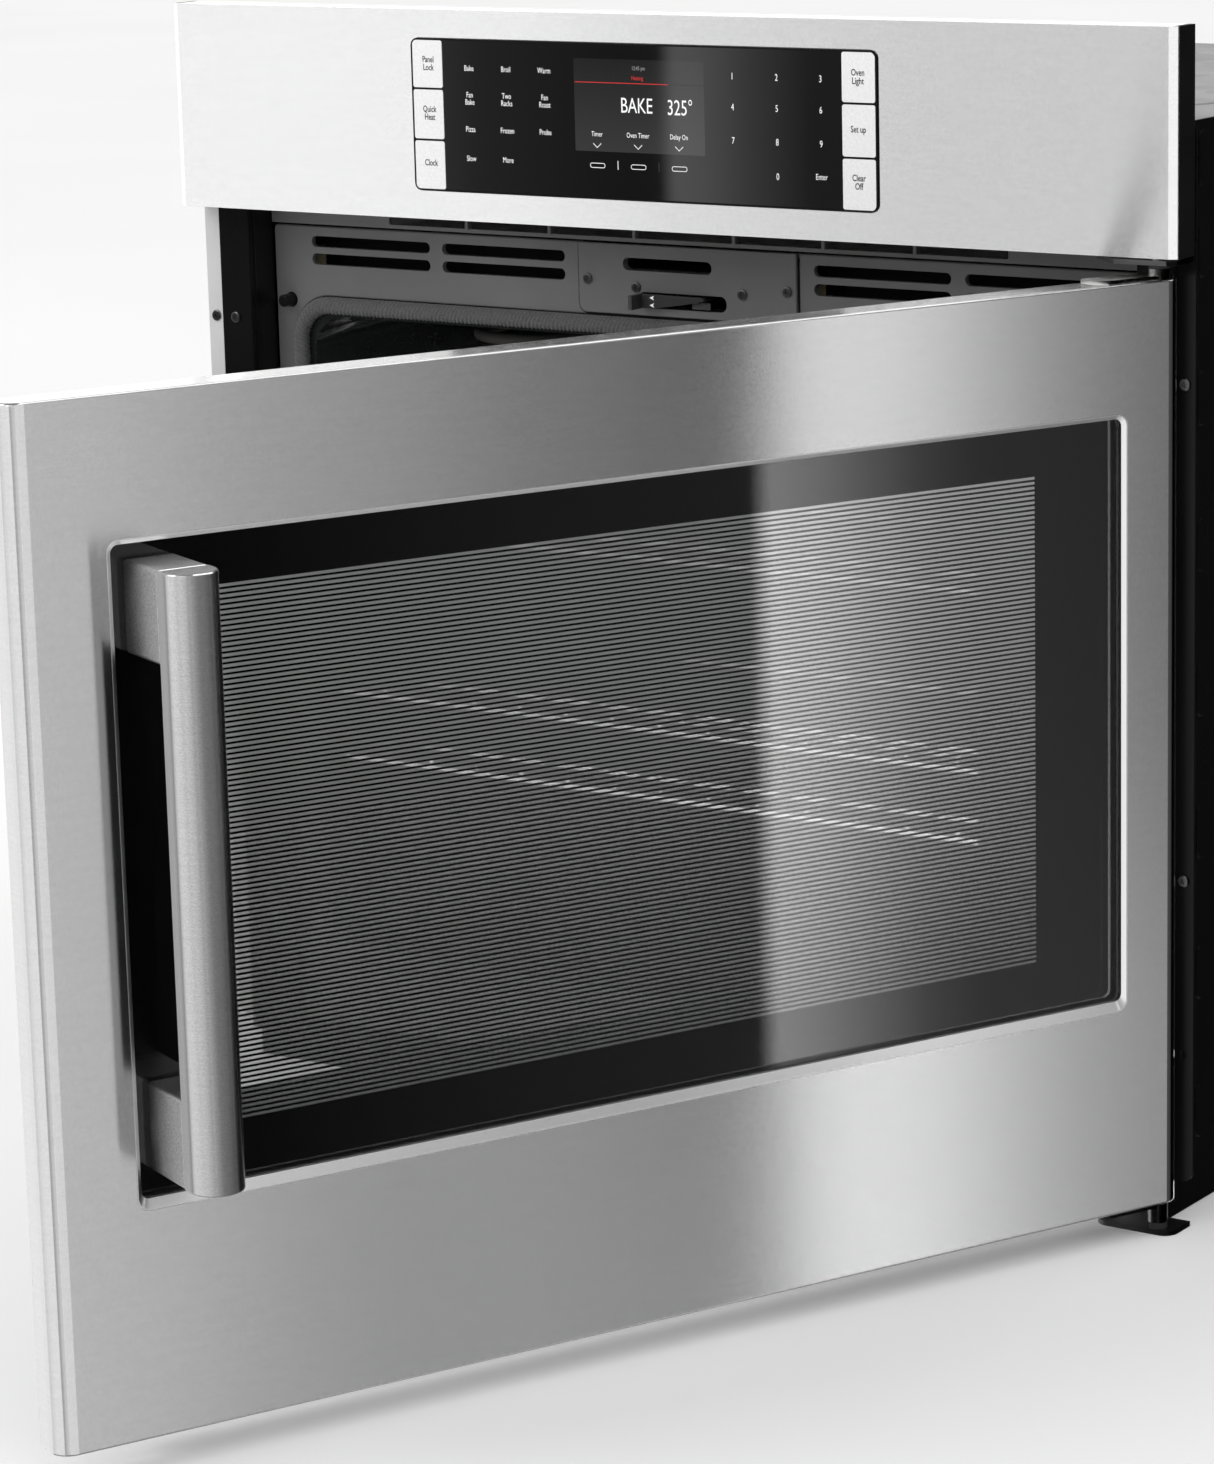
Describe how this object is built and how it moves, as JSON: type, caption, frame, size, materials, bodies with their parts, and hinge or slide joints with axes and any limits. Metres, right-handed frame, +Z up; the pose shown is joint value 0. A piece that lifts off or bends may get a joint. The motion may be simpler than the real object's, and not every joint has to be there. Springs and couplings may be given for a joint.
{
  "type": "wall oven",
  "caption": "Built-in single wall oven with a stainless side-opening door, striped window, vertical bar handle and a touch control panel above.",
  "frame": {"origin": "centre of the body's underside, which the oven stands on", "axes": "+X to the right of a viewer facing the oven, +Y from the front to the back, +Z up"},
  "size_m": [0.7558, 1.2729, 0.738],
  "materials": {
    "stainless": "fine brushed",
    "bright_trim": "bright bevel",
    "handle_metal": "brushed round the bar",
    "cast_metal": "satin blasted",
    "black_glass": "glossy, printed black",
    "striped_glass": "glossy, printed with fine lines",
    "clear_glass": "clear",
    "grey_enamel": "satin enamel",
    "cavity_enamel": "gloss speckled enamel",
    "black_paint": "satin powder coat",
    "galvanised": "zinc coated sheet",
    "zinc": "bright zinc plate",
    "dark_plate": "satin",
    "rack_wire": "bright",
    "element_tube": "oxidised",
    "gasket_braid": "braided glass fibre",
    "insulation": "matted fibre",
    "motor_metal": "cast",
    "screw_steel": "plated",
    "board": "circuit board",
    "black_plastic": "moulded",
    "pad_face": "printed",
    "nylon": "moulded"
  },
  "bodies": {
    "cabinet": {"base_pan": "black_paint", "left_side_panel": "black_paint", "right_side_panel": "black_paint", "back_panel": "galvanised", "top_cover": "galvanised", "control_housing": "galvanised", "left_mounting_flange": "galvanised", "front_trims": "black_paint", "front_frame": "grey_enamel", "cavity_liner": "cavity_enamel", "oven_gasket": "gasket_braid", "insulation_blanket": "insulation", "bake_element": "element_tube", "broil_element": "element_tube", "convection_element": "element_tube", "fan_cover": "cavity_enamel", "convection_motor": "motor_metal", "oven_lamps": "galvanised", "lamp_lenses": "clear_glass", "temperature_sensor": "screw_steel", "latch_cover_plate": "grey_enamel", "latch_motor": "black_plastic", "door_switch": "black_plastic", "cooling_outlet_grille": "grey_enamel", "air_duct": "galvanised", "blower_housing": "galvanised", "blower_motor": "motor_metal", "control_boards": "board", "junction_box": "galvanised", "conduit_gland": "nylon", "control_fascia": "stainless", "panel_end_caps": "black_plastic", "control_glass": "black_glass", "touch_pads": "pad_face", "display_module": "black_plastic", "hinge_brackets": "black_paint", "hinge_pins": "zinc", "hinge_bushes": "nylon", "body_screws": "screw_steel"},
    "door": {"door_skin": "stainless", "window_trim": "bright_trim", "outer_door_glass": "striped_glass", "middle_door_glass": "clear_glass", "inner_door_glass": "clear_glass", "glass_retainers": "galvanised", "door_chassis": "galvanised", "door_insulation": "insulation", "door_liner": "cavity_enamel", "latch_strike": "galvanised", "handle_posts": "cast_metal", "handle_bar": "handle_metal", "handle_screws": "screw_steel", "door_hinge_arms": "zinc"},
    "convection_fan": {"convection_fan": "motor_metal"},
    "blower_wheel": {"blower_wheel": "motor_metal"},
    "latch_hook": {"latch_hook": "dark_plate"},
    "switch_plunger": {"door_switch_plunger": "black_plastic"},
    "lower_rack": {"lower_rack": "rack_wire"},
    "middle_rack": {"middle_rack": "rack_wire"},
    "upper_rack": {"upper_rack": "rack_wire"}
  },
  "joints": [
    {"name": "door_hinge", "type": "hinge", "parent": "cabinet", "child": "door", "pos_m": [0.3635, -0.2976, 0.3], "axis": [0, 0, 1], "range_deg": [-65.5, 26.5]},
    {"name": "lower_rack_slide", "type": "slide", "parent": "cabinet", "child": "lower_rack", "axis": [0, -1, 0], "range_m": [0, 0.075]},
    {"name": "middle_rack_slide", "type": "slide", "parent": "cabinet", "child": "middle_rack", "axis": [0, -1, 0], "range_m": [0, 0.075]},
    {"name": "upper_rack_slide", "type": "slide", "parent": "cabinet", "child": "upper_rack", "axis": [0, -1, 0], "range_m": [0, 0.075]},
    {"name": "latch_throw", "type": "slide", "parent": "cabinet", "child": "latch_hook", "axis": [1, 0, 0], "range_m": [0, 0.01]},
    {"name": "switch_travel", "type": "slide", "parent": "cabinet", "child": "switch_plunger", "axis": [0, 1, 0], "range_m": [0, 0.005], "stiffness_N_per_m": 200},
    {"name": "convection_fan_spin", "type": "hinge", "parent": "cabinet", "child": "convection_fan", "pos_m": [0, 0.196, 0.3], "axis": [0, 1, 0], "continuous": true},
    {"name": "blower_wheel_spin", "type": "hinge", "parent": "cabinet", "child": "blower_wheel", "pos_m": [0, 0.116, 0.62], "axis": [0, 0, 1], "continuous": true}
  ]
}
